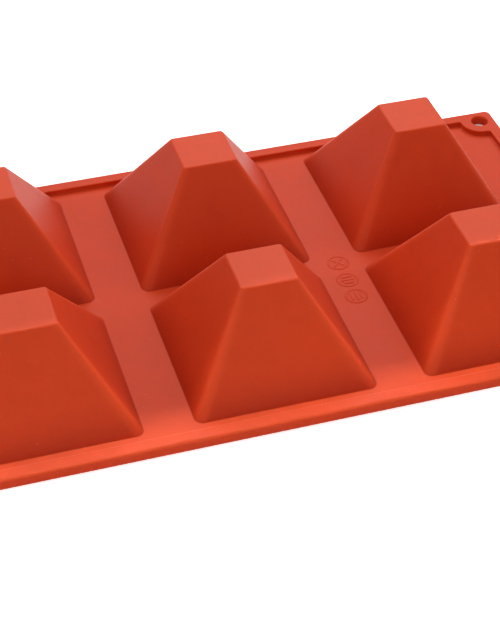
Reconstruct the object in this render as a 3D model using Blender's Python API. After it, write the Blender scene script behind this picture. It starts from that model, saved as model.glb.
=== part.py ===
"""A one-piece silicone casting mould with six pyramid cups, lying open side down.

The moulding is divided where the silicone bends: a middle section and two side
sections joined by thin flexing strips, and in each cup a firm end that is pushed
in through soft walls. The flat open face lies on z = 0, the cups point up, and
the origin is at the middle of that face.
"""

import math

import bmesh
import bpy

# Cups: square pyramids with a flat end, measured inside
CUP_MOUTH = 0.071
CUP_FLOOR = 0.0212
CUP_DEPTH = 0.040
CUP_WALL = 0.0017
CUP_END_THICKNESS = 0.0022
CUP_FOOT_RADIUS = 0.0030
CUP_END_RADIUS = 0.0018
CUP_INSIDE_RADIUS = 0.0010
CUP_END_CHAMFER = 0.0005

# Spacing of the cups, from mouth to mouth and from mouth to the outer edge
COLUMNS = (-1, 0, 1)
ROWS = (-0.5, 0.5)
COLUMN_GAP = 0.0206
ROW_GAP = 0.0102
END_MARGIN = 0.0229
SIDE_MARGIN = 0.0109

# Sheet, rim and hanging eyelet
WEB_THICKNESS = 0.0024
RIM_WIDTH = 0.0056
RIM_HEIGHT = 0.0046
SHEET_CORNER_RADIUS = 0.0025
FLEX_LAND = 0.0023
EYELET_INSET = 0.0072
EYELET_RADIUS = 0.0088
EYELET_HOLE = 0.0075

# Gap left between regions that meet, and how far a cutter runs past its target
FIT_GAP = 0.0003
CUTTER_OVERRUN = 0.001

CORNER_STEPS = 4
ARC_STEP = math.radians(9.0)
HOLE_SIDES = 28

COLUMN_NAMES = {-1: "left", 0: "middle", 1: "right"}
ROW_NAMES = {-0.5: "front", 0.5: "back"}
SILICONE_COLOUR = (0.62, 0.075, 0.035, 1.0)
SILICONE_ROUGHNESS = 0.42

# Values that follow from the sizes above
COLUMN_PITCH = CUP_MOUTH + COLUMN_GAP
ROW_PITCH = CUP_MOUTH + ROW_GAP
HALF_LENGTH = COLUMN_PITCH + CUP_MOUTH / 2 + END_MARGIN
HALF_WIDTH = (ROW_PITCH + CUP_MOUTH) / 2 + SIDE_MARGIN
CUP_SLOPE = (CUP_MOUTH - CUP_FLOOR) / 2 / CUP_DEPTH
SLANT = math.hypot(1.0, CUP_SLOPE)
WALL_ACROSS = CUP_WALL * SLANT
GAP_ACROSS = FIT_GAP * SLANT
CUP_TOP = CUP_DEPTH + CUP_END_THICKNESS
FLEX_HALF = COLUMN_GAP / 2 - WALL_ACROSS - FLEX_LAND
HINGE_X = COLUMN_PITCH / 2
HINGE_Z = WEB_THICKNESS / 2
WEB_HALF_LENGTH = HALF_LENGTH - RIM_WIDTH
WEB_HALF_WIDTH = HALF_WIDTH - RIM_WIDTH
SECTION_EDGE = HINGE_X - FLEX_HALF - FIT_GAP / 2
SIDE_EDGE = HINGE_X + FLEX_HALF + FIT_GAP / 2
FLEX_EDGES = (SECTION_EDGE + FIT_GAP, SIDE_EDGE - FIT_GAP)


def clear_scene():
    """Remove every object that the new scene starts with."""
    for obj in list(bpy.data.objects):
        bpy.data.objects.remove(obj, do_unlink=True)


def silicone(name):
    """Return a satin red silicone material for one region."""
    material = bpy.data.materials.new(name + "_silicone")
    material.use_nodes = True
    shader = material.node_tree.nodes["Principled BSDF"]
    shader.inputs["Base Color"].default_value = SILICONE_COLOUR
    shader.inputs["Roughness"].default_value = SILICONE_ROUGHNESS
    shader.inputs["Metallic"].default_value = 0.0
    return material


def new_object(name, bm, origin=(0.0, 0.0, 0.0)):
    """Make an object from a bmesh drawn in world space, with its origin at a given point."""
    bmesh.ops.translate(bm, verts=bm.verts, vec=[-value for value in origin])
    bmesh.ops.recalc_face_normals(bm, faces=bm.faces)
    mesh = bpy.data.meshes.new(name)
    bm.to_mesh(mesh)
    bm.free()
    obj = bpy.data.objects.new(name, mesh)
    obj.location = origin
    bpy.context.scene.collection.objects.link(obj)
    return obj


def region(name, bm, origin=(0.0, 0.0, 0.0)):
    """Make one named region of the moulding with its own material."""
    obj = new_object(name, bm, origin)
    obj.data.materials.append(silicone(name))
    return obj


def as_cutter(name, bm):
    """Make a hidden object that only cuts others."""
    cutter = new_object(name, bm)
    cutter.hide_render = True
    cutter.display_type = "WIRE"
    return cutter


def cut(obj, cutter):
    """Subtract a cutter from an object."""
    boolean = obj.modifiers.new("cut_" + cutter.name, "BOOLEAN")
    boolean.operation = "DIFFERENCE"
    boolean.solver = "EXACT"
    boolean.object = cutter


def arc(centre, radius, start, end, steps):
    """Points along an arc, both ends included."""
    angles = [start + (end - start) * step / steps for step in range(steps + 1)]
    return [(centre[0] + radius * math.cos(a), centre[1] + radius * math.sin(a)) for a in angles]


def rounded_square(centre, half, radius):
    """A square outline with round corners, anticlockwise."""
    points = []
    for quarter, (sx, sy) in enumerate(((1, 1), (-1, 1), (-1, -1), (1, -1))):
        corner = (centre[0] + sx * (half - radius), centre[1] + sy * (half - radius))
        start = quarter * math.pi / 2
        points += arc(corner, radius, start, start + math.pi / 2, CORNER_STEPS)
    return points


def loft(loops, closed=False):
    """Skin a stack of (outline, height) loops; closed joins last to first, else ends are capped."""
    bm = bmesh.new()
    rings = [[bm.verts.new((x, y, z)) for x, y in outline] for outline, z in loops]
    pairs = list(zip(rings, rings[1:]))
    if closed:
        pairs.append((rings[-1], rings[0]))
    for lower, upper in pairs:
        count = len(lower)
        for i in range(count):
            j = (i + 1) % count
            bm.faces.new((lower[i], lower[j], upper[j], upper[i]))
    if not closed:
        bm.faces.new(rings[0][::-1])
        bm.faces.new(rings[-1])
    return bm


def flat_region(name, outline, height, origin):
    """A region of even height with the given outline, standing on the open face."""
    return region(name, loft([(outline, 0.0), (outline, height)]), origin)


def rectangle(x_range, y_range):
    """A rectangular outline, anticlockwise."""
    (left, right), (front, back) = x_range, y_range
    return [(left, front), (right, front), (right, back), (left, back)]


def cup_centre(column, row):
    """Middle of a cup on the sheet."""
    return (column * COLUMN_PITCH, row * ROW_PITCH)


def cup_half(z):
    """Half the outer width of a cup at height z."""
    return CUP_MOUTH / 2 - CUP_SLOPE * z + WALL_ACROSS


def cup_radius(z):
    """Outer corner radius of a cup at height z."""
    return CUP_FOOT_RADIUS + (CUP_END_RADIUS - CUP_FOOT_RADIUS) * z / CUP_TOP


def cup_loop(centre, z, grow=0.0):
    """Outer outline of a cup at height z, moved outwards by grow."""
    return (rounded_square(centre, cup_half(z) + grow, cup_radius(z) + grow), z)


def inside_loop(centre, z):
    """Inner outline of a cup at height z."""
    return (rounded_square(centre, cup_half(z) - WALL_ACROSS, CUP_INSIDE_RADIUS), z)


def build_cup_wall(name, centre, origin):
    """The four soft sloping walls of a cup, open at the mouth."""
    top = CUP_DEPTH - FIT_GAP
    loops = [cup_loop(centre, 0.0), cup_loop(centre, top),
             inside_loop(centre, top), inside_loop(centre, 0.0)]
    return region(name, loft(loops, closed=True), origin)


def build_cup_end(name, centre):
    """The firm flat end of a cup, which is pushed in to free the casting."""
    edge = CUP_TOP - CUP_END_CHAMFER
    loops = [cup_loop(centre, CUP_DEPTH), cup_loop(centre, edge),
             cup_loop(centre, CUP_TOP, -CUP_END_CHAMFER)]
    return region(name, loft(loops), (centre[0], centre[1], CUP_DEPTH))


def cup_cutter(centre, name):
    """The space that a cup's foot takes out of the web."""
    heights = (-CUTTER_OVERRUN, WEB_THICKNESS + CUTTER_OVERRUN)
    return as_cutter(name, loft([cup_loop(centre, z, GAP_ACROSS) for z in heights]))


def eyelet_centre():
    """Middle of the hanging hole, in the back right corner."""
    return (HALF_LENGTH - EYELET_INSET, HALF_WIDTH - EYELET_INSET)


def eyelet_arc(radius, overrun):
    """The inner edge of the eyelet, from the back edge of the sheet round to its end."""
    reach = EYELET_INSET + overrun
    start = math.pi - math.asin(reach / radius)
    end = 2 * math.pi - math.acos(reach / radius)
    return arc(eyelet_centre(), radius, start, end, round((end - start) / ARC_STEP))


def build_eyelet(origin):
    """The corner of the sheet with a round boss and a hole to hang the mould by."""
    corner = (HALF_LENGTH - SHEET_CORNER_RADIUS, HALF_WIDTH - SHEET_CORNER_RADIUS)
    outline = eyelet_arc(EYELET_RADIUS, 0.0)
    outline += arc(corner, SHEET_CORNER_RADIUS, 0.0, math.pi / 2, CORNER_STEPS)
    eyelet = flat_region("hanging_eyelet", outline, RIM_HEIGHT, origin)
    hole = arc(eyelet_centre(), EYELET_HOLE / 2, 0.0, 2 * math.pi, HOLE_SIDES)[:-1]
    drill = loft([(hole, -CUTTER_OVERRUN), (hole, RIM_HEIGHT + CUTTER_OVERRUN)])
    cut(eyelet, as_cutter("hanging_hole_cutter", drill))
    return eyelet


def eyelet_cutter():
    """The space that the eyelet takes out of the web and the rim beside it."""
    outline = eyelet_arc(EYELET_RADIUS + FIT_GAP, CUTTER_OVERRUN)
    outline.append((HALF_LENGTH + CUTTER_OVERRUN, HALF_WIDTH + CUTTER_OVERRUN))
    low, high = -CUTTER_OVERRUN, RIM_HEIGHT + CUTTER_OVERRUN
    return as_cutter("eyelet_cutter", loft([(outline, low), (outline, high)]))


def outer_corner(side):
    """The round outer corner at the right end of the sheet, at the front (side -1) or back (side 1)."""
    centre = (HALF_LENGTH - SHEET_CORNER_RADIUS, side * (HALF_WIDTH - SHEET_CORNER_RADIUS))
    start = 0.0 if side > 0 else -math.pi / 2
    return arc(centre, SHEET_CORNER_RADIUS, start, start + math.pi / 2, CORNER_STEPS)


def left_rim_outline():
    """The rim round the left end: a front bar, the end bar and a back bar."""
    right = [(SIDE_EDGE, -HALF_WIDTH)] + outer_corner(-1) + outer_corner(1)
    right += [(SIDE_EDGE, HALF_WIDTH), (SIDE_EDGE, WEB_HALF_WIDTH), (WEB_HALF_LENGTH, WEB_HALF_WIDTH)]
    right += [(WEB_HALF_LENGTH, -WEB_HALF_WIDTH), (SIDE_EDGE, -WEB_HALF_WIDTH)]
    return [(-x, y) for x, y in right[::-1]]


def right_rim_outline():
    """The rim along the front and round to the eyelet at the right end."""
    outline = [(SIDE_EDGE, -HALF_WIDTH)] + outer_corner(-1)
    outline += [(HALF_LENGTH, HALF_WIDTH), (WEB_HALF_LENGTH, HALF_WIDTH)]
    return outline + [(WEB_HALF_LENGTH, -WEB_HALF_WIDTH), (SIDE_EDGE, -WEB_HALF_WIDTH)]


def bar(name, x_range, side, origin=(0.0, 0.0, 0.0)):
    """A straight length of rim along the front (side -1) or back (side 1) edge."""
    y_range = sorted((side * WEB_HALF_WIDTH, side * HALF_WIDTH))
    return flat_region(name, rectangle(x_range, y_range), RIM_HEIGHT, origin)


def build_webs(cutters, eyelet_space):
    """The flat sheet round the cups: a middle section, two side sections and two flexing strips."""
    y_range = (-WEB_HALF_WIDTH + FIT_GAP, WEB_HALF_WIDTH - FIT_GAP)
    for column in COLUMNS:
        side = COLUMN_NAMES[column]
        if column == 0:
            x_range, origin = (-SECTION_EDGE, SECTION_EDGE), (0.0, 0.0, 0.0)
        else:
            x_range = sorted((column * SIDE_EDGE, column * (WEB_HALF_LENGTH - FIT_GAP)))
            origin = (column * HINGE_X, 0.0, HINGE_Z)
            strip = sorted(column * edge for edge in FLEX_EDGES)
            flat_region(side + "_flex_web", rectangle(strip, y_range), WEB_THICKNESS, origin)
        web = flat_region(side + "_web", rectangle(x_range, y_range), WEB_THICKNESS, origin)
        for row in ROWS:
            cut(web, cutters[column, row])
        if column == 1:
            cut(web, eyelet_space)


def build_rims(eyelet_space):
    """The raised bead round the sheet, divided at the flexing strips and at the eyelet."""
    hinge = {column: (column * HINGE_X, 0.0, HINGE_Z) for column in (-1, 1)}
    flat_region("left_rim", left_rim_outline(), RIM_HEIGHT, hinge[-1])
    cut(flat_region("right_rim", right_rim_outline(), RIM_HEIGHT, hinge[1]), eyelet_space)
    cut(bar("right_back_rim", (SIDE_EDGE, HALF_LENGTH), 1, hinge[1]), eyelet_space)
    for side, row_name in ((-1, "front"), (1, "back")):
        bar("middle_" + row_name + "_rim", (-SECTION_EDGE, SECTION_EDGE), side)
        for column in (-1, 1):
            strip = sorted(column * edge for edge in FLEX_EDGES)
            bar(COLUMN_NAMES[column] + "_" + row_name + "_flex_rim", strip, side, hinge[column])


def main():
    """Build the whole mould."""
    clear_scene()
    eyelet_space = eyelet_cutter()
    cutters = {}
    for column in COLUMNS:
        for row in ROWS:
            centre = cup_centre(column, row)
            name = ROW_NAMES[row] + "_" + COLUMN_NAMES[column] + "_cup"
            origin = (column * HINGE_X, 0.0, HINGE_Z if column else 0.0)
            build_cup_wall(name + "_wall", centre, origin)
            build_cup_end(name + "_end", centre)
            cutters[column, row] = cup_cutter(centre, name + "_cutter")
    build_webs(cutters, eyelet_space)
    build_rims(eyelet_space)
    build_eyelet((HINGE_X, 0.0, HINGE_Z))


main()
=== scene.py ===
"""Visual model of a six-cup silicone casting mould, lying on its open face with the cups pointing up.

The mould is one moulding, so its pieces meet flush and the joins fall on flat silicone: a middle sheet,
two side sheets cut into narrow strips between the columns, six cups and the raised marks.
All lengths are in metres.
"""

from __future__ import annotations

import logging
import math
from dataclasses import dataclass, field, replace
from enum import Enum
from typing import Iterable, Sequence, Union

import bmesh
import bpy
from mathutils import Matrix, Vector


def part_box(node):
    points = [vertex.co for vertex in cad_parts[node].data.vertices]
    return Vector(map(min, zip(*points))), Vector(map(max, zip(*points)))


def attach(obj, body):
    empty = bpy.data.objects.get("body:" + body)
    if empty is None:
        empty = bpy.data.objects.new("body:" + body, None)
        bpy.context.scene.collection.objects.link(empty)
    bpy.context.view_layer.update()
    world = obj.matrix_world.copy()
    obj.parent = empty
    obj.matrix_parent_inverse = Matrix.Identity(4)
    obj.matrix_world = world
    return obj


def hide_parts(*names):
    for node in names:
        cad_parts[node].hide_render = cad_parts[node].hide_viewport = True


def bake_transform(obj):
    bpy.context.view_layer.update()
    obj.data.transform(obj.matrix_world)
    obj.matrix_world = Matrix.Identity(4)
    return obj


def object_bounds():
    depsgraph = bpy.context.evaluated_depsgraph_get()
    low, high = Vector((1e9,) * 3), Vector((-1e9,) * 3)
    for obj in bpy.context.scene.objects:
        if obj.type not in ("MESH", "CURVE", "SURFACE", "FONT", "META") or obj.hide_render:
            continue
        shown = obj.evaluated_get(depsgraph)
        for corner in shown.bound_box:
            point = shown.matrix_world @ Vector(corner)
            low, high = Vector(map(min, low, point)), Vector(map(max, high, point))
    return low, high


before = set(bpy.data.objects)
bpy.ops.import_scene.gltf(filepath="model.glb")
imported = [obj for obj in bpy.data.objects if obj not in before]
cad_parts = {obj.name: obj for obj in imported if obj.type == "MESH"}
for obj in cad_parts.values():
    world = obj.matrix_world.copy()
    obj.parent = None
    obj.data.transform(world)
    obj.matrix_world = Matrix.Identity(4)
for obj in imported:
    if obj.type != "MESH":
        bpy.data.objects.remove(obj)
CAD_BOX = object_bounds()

LOG = logging.getLogger("mould")
# Share of painted highlight on rounded edges, cup corners and cup tops, stored on each point.
EDGE_HIGHLIGHT_ATTRIBUTE = "soft_edge"
POLISH_ATTRIBUTE = "polish"
# Share of painted shade in the crease round each cup's foot, stored on each point.
CREASE_SHADE_ATTRIBUTE = "crease"
SHARP_ANGLE = math.radians(40)
TINY = 1e-6

Colour = tuple[float, float, float]
Link = Union[bpy.types.NodeSocket, float, int, str, tuple, bool]


class Row(Enum):
    """A row of cups, front to back."""

    FRONT = "front"
    BACK = "back"


class Column(Enum):
    """A column of cups, left to right."""

    LEFT = "left"
    MIDDLE = "middle"
    RIGHT = "right"


class MarkPart(Enum):
    """What a point of the raised marks stands for."""

    RING = 0
    BAR = 1


# ---------------------------------------------------------------------------------------------------------
# Outlines and profiles
# ---------------------------------------------------------------------------------------------------------


@dataclass(frozen=True)
class Corner:
    """A corner of a profile before it is rounded."""

    across: float
    up: float
    radius: float = 0.0
    # Share of painted highlight on this corner's rounding.
    edge: float = 1.0


@dataclass(frozen=True)
class ProfilePoint:
    """A point of a finished profile, with its share of painted edge highlight, from 0 to 1."""

    across: float
    up: float
    edge: float = 0.0


def round_profile(corners: Sequence[Corner], steps: int = 6, support: float = 0.00025) -> list[ProfilePoint]:
    """Rounds the corners of an open profile and adds a support point on both sides of each rounding.

    Args:
        corners: The profile's corners in order; the first and last stay as they are.
        steps: Number of steps in each rounding.
        support: Distance from a rounding to its support points.

    Returns:
        The rounded profile.
    """
    points = [ProfilePoint(corners[0].across, corners[0].up)]
    for before, corner, after in zip(corners, corners[1:], corners[2:]):
        here = Vector((corner.across, corner.up))
        if corner.radius <= 0:
            points.append(ProfilePoint(here.x, here.y))
            continue
        arriving = (here - Vector((before.across, before.up))).normalized()
        leaving = (Vector((after.across, after.up)) - here).normalized()
        turn = math.atan2(arriving.x * leaving.y - arriving.y * leaving.x, arriving.dot(leaving))
        reach = corner.radius * math.tan(abs(turn) / 2)
        start = here - arriving * reach
        side = Vector((-arriving.y, arriving.x)) * math.copysign(1, turn)
        centre = start + side * corner.radius
        first = start - arriving * support
        points.append(ProfilePoint(first.x, first.y))
        for step in range(steps + 1):
            angle = turn * step / steps
            spoke = start - centre
            x = centre.x + spoke.x * math.cos(angle) - spoke.y * math.sin(angle)
            y = centre.y + spoke.x * math.sin(angle) + spoke.y * math.cos(angle)
            # The painted highlight peaks halfway round the rounding.
            points.append(ProfilePoint(x, y, corner.edge * math.sin(math.pi * step / steps)))
        last = here + leaving * (reach + support)
        points.append(ProfilePoint(last.x, last.y))
    points.append(ProfilePoint(corners[-1].across, corners[-1].up))
    return points


def divide_profile(points: Sequence[ProfilePoint], longest: float) -> list[ProfilePoint]:
    """Divides the long straights of a profile, so that they can bend.

    Args:
        points: The profile.
        longest: Longest step allowed.

    Returns:
        The same profile with points added.
    """
    divided = [points[0]]
    for here, there in zip(points, points[1:]):
        gap = math.hypot(there.across - here.across, there.up - here.up)
        parts = max(1, math.ceil(gap / longest))
        for part in range(1, parts):
            share = part / parts
            divided.append(
                ProfilePoint(
                    here.across + (there.across - here.across) * share, here.up + (there.up - here.up) * share
                )
            )
        divided.append(there)
    return divided


@dataclass(frozen=True)
class PathPoint:
    """A point of an outline seen from above, with the unit direction that points in towards the web."""

    x: float
    y: float
    inward_x: float
    inward_y: float

    def moved(self, distance: float) -> tuple[float, float]:
        """Gives the point moved inwards by a distance."""
        return self.x + self.inward_x * distance, self.y + self.inward_y * distance


def arc_path(
    centre: tuple[float, float], radius: float, first: float, last: float, web_inside: bool, steps: int
) -> list[PathPoint]:
    """Makes an arc of an outline.

    Args:
        centre: The arc's centre.
        radius: The arc's radius.
        first: Angle that it starts at, in degrees.
        last: Angle that it ends at, in degrees.
        web_inside: Whether the web is on the centre's side of the arc.
        steps: Number of steps along it.

    Returns:
        The points of the arc.
    """
    points = []
    for step in range(steps + 1):
        angle = math.radians(first + (last - first) * step / steps)
        cos, sin = math.cos(angle), math.sin(angle)
        sign = -1.0 if web_inside else 1.0
        points.append(PathPoint(centre[0] + radius * cos, centre[1] + radius * sin, sign * cos, sign * sin))
    return points


def support_path(path: Sequence[PathPoint], reach: float) -> list[PathPoint]:
    """Adds a point near both ends of each straight of a closed outline, to keep its shading flat.

    Args:
        path: The closed outline.
        reach: Distance from the end of a straight to its added point.

    Returns:
        The outline with the points added.
    """
    finished = []
    for here, there in zip(path, [*path[1:], path[0]]):
        finished.append(here)
        gap = math.hypot(there.x - here.x, there.y - here.y)
        if gap > 4 * reach:
            along_x, along_y = (there.x - here.x) / gap * reach, (there.y - here.y) / gap * reach
            finished.append(PathPoint(here.x + along_x, here.y + along_y, here.inward_x, here.inward_y))
            finished.append(PathPoint(there.x - along_x, there.y - along_y, there.inward_x, there.inward_y))
    return finished


# ---------------------------------------------------------------------------------------------------------
# Mesh helpers
# ---------------------------------------------------------------------------------------------------------


def new_object(name: str, mesh: bpy.types.Mesh) -> bpy.types.Object:
    """Puts a mesh in the scene as an object at the origin.

    Args:
        name: The object's name.
        mesh: Its mesh.

    Returns:
        The object.
    """
    made = bpy.data.objects.new(name, mesh)
    bpy.context.scene.collection.objects.link(made)
    return made


def sweep_profile(bm: bmesh.types.BMesh, path: Sequence[PathPoint], profile: Sequence[ProfilePoint]) -> tuple:
    """Sweeps a profile round a closed outline.

    Args:
        bm: The mesh that it is added to.
        path: The closed outline.
        profile: The profile, across the outline towards the web and up.

    Returns:
        The edges of the first and of the last loop.
    """
    # Each point keeps its share of painted edge highlight.
    layer = bm.verts.layers.float.get(EDGE_HIGHLIGHT_ATTRIBUTE) or bm.verts.layers.float.new(EDGE_HIGHLIGHT_ATTRIBUTE)
    loops = []
    for point in profile:
        loop = []
        for place in path:
            vert = bm.verts.new((*place.moved(point.across), point.up))
            vert[layer] = point.edge
            loop.append(vert)
        loops.append(loop)
    count = len(path)
    for low, high in zip(loops, loops[1:]):
        for i in range(count):
            j = (i + 1) % count
            bm.faces.new((low[i], low[j], high[j], high[i]))
    return tuple(
        [bm.edges.get((loop[i], loop[(i + 1) % count])) for i in range(count)]
        for loop in (loops[0], loops[-1])
    )


def fill_flat(bm: bmesh.types.BMesh, *loops: Iterable[bmesh.types.BMEdge]) -> None:
    """Fills the flat region between closed loops of edges."""
    edges = [edge for loop in loops for edge in loop]
    bmesh.ops.triangle_fill(bm, use_beauty=True, use_dissolve=False, edges=edges)


def cut_sheet(bm: bmesh.types.BMesh, place: float, keep_below: bool | None = None) -> None:
    """Cuts a mesh across at a place along X.

    Args:
        bm: The mesh.
        place: Where the cut lies.
        keep_below: Which side is kept and closed with a flat end; None keeps both, as one mesh.
    """
    geometry = [*bm.verts, *bm.edges, *bm.faces]
    bmesh.ops.bisect_plane(
        bm,
        geom=geometry,
        dist=1e-7,
        plane_co=(place, 0, 0),
        plane_no=(1, 0, 0),
        clear_outer=keep_below is True,
        clear_inner=keep_below is False,
    )
    if keep_below is not None:
        fill_flat(bm, [edge for edge in bm.edges if edge.is_boundary])


def finish_mesh(bm: bmesh.types.BMesh, name: str) -> bpy.types.Mesh:
    """Closes a mesh's work: faces outwards, smooth with crisp edges, and no open edge.

    Args:
        bm: The mesh, which is freed.
        name: The name of the mesh that is made.

    Returns:
        The finished mesh.
    """
    bmesh.ops.recalc_face_normals(bm, faces=bm.faces)
    loose = sum(1 for edge in bm.edges if not edge.is_manifold)
    if loose:
        raise ValueError(f"{name} has {loose} open edges")
    for face in bm.faces:
        face.smooth = True
    mesh = bpy.data.meshes.new(name)
    bm.to_mesh(mesh)
    bm.free()
    mesh.set_sharp_from_angle(angle=SHARP_ANGLE)
    return mesh


# ---------------------------------------------------------------------------------------------------------
# Node helpers
# ---------------------------------------------------------------------------------------------------------


class Wiring:
    """Adds nodes to a tree and joins them."""

    def __init__(self, tree: bpy.types.NodeTree) -> None:
        """Keeps the tree that the nodes go in."""
        self.tree = tree

    def node(self, kind: str, inputs: dict[str, Link] | None = None, **settings: object) -> bpy.types.Node:
        """Adds a node.

        Args:
            kind: The node's type.
            inputs: Values or sockets for its inputs, by name.
            **settings: Its settings.

        Returns:
            The node.
        """
        made = self.tree.nodes.new(kind)
        for name, value in settings.items():
            setattr(made, name, value)
        for name, value in (inputs or {}).items():
            self.join(value, self.pick(made.inputs, name))
        return made

    def pick(self, sockets: bpy.types.bpy_prop_collection, name: str) -> bpy.types.NodeSocket:
        """Finds the socket in use with a name."""
        return next(socket for socket in sockets if socket.name == name and socket.enabled)

    def out(self, node: bpy.types.Node, name: str) -> bpy.types.NodeSocket:
        """Finds the output in use with a name."""
        return self.pick(node.outputs, name)

    def join(self, value: Link, socket: bpy.types.NodeSocket) -> None:
        """Links a socket to an input, or sets the input to a plain value."""
        if isinstance(value, bpy.types.NodeSocket):
            self.tree.links.new(value, socket)
        else:
            socket.default_value = value

    def sum(self, operation: str, *values: Link, clamp: bool = False) -> bpy.types.NodeSocket:
        """Adds a maths node.

        Args:
            operation: The operation, as the node names it.
            *values: Its inputs in order.
            clamp: Whether the result is held between 0 and 1.

        Returns:
            The result.
        """
        made = self.tree.nodes.new("ShaderNodeMath")
        made.operation = operation
        made.use_clamp = clamp
        for value, socket in zip(values, made.inputs):
            self.join(value, socket)
        return made.outputs[0]


def add_sockets(tree: bpy.types.NodeTree, direction: str, sockets: dict[str, str]) -> dict[str, str]:
    """Adds sockets to a node tree's interface.

    Args:
        tree: The tree.
        direction: INPUT or OUTPUT.
        sockets: The type of each socket by its name.

    Returns:
        The identifier of each socket by its name.
    """
    made = {}
    for name, kind in sockets.items():
        socket = tree.interface.new_socket(name, in_out=direction, socket_type=f"NodeSocket{kind}")
        made[name] = socket.identifier
    return made


def run_tree(
    source: bpy.types.Object, tree: bpy.types.NodeTree, values: dict[str, object], name: str
) -> bpy.types.Object:
    """Runs a geometry tree on an object and keeps the result as a plain mesh.

    Args:
        source: The object that holds the tree's input geometry.
        tree: The geometry tree.
        values: The value of each input by the socket's identifier.
        name: The name of the finished object and of its mesh.

    Returns:
        The object, with no modifier.
    """
    modifier = source.modifiers.new(tree.name, "NODES")
    modifier.node_group = tree
    for identifier, value in values.items():
        modifier[identifier] = value
    source.update_tag()
    graph = bpy.context.evaluated_depsgraph_get()
    mesh = bpy.data.meshes.new_from_object(
        source.evaluated_get(graph), preserve_all_data_layers=True, depsgraph=graph
    )
    source.modifiers.clear()
    materials = list(mesh.materials)
    bm = bmesh.new()
    bm.from_mesh(mesh)
    bpy.data.meshes.remove(mesh)
    finished = finish_mesh(bm, name)
    for material in materials:
        finished.materials.append(material)
    plain = source.data
    source.data = finished
    bpy.data.meshes.remove(plain)
    source.name = name
    return source


# ---------------------------------------------------------------------------------------------------------
# Finishes
# ---------------------------------------------------------------------------------------------------------


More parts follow.
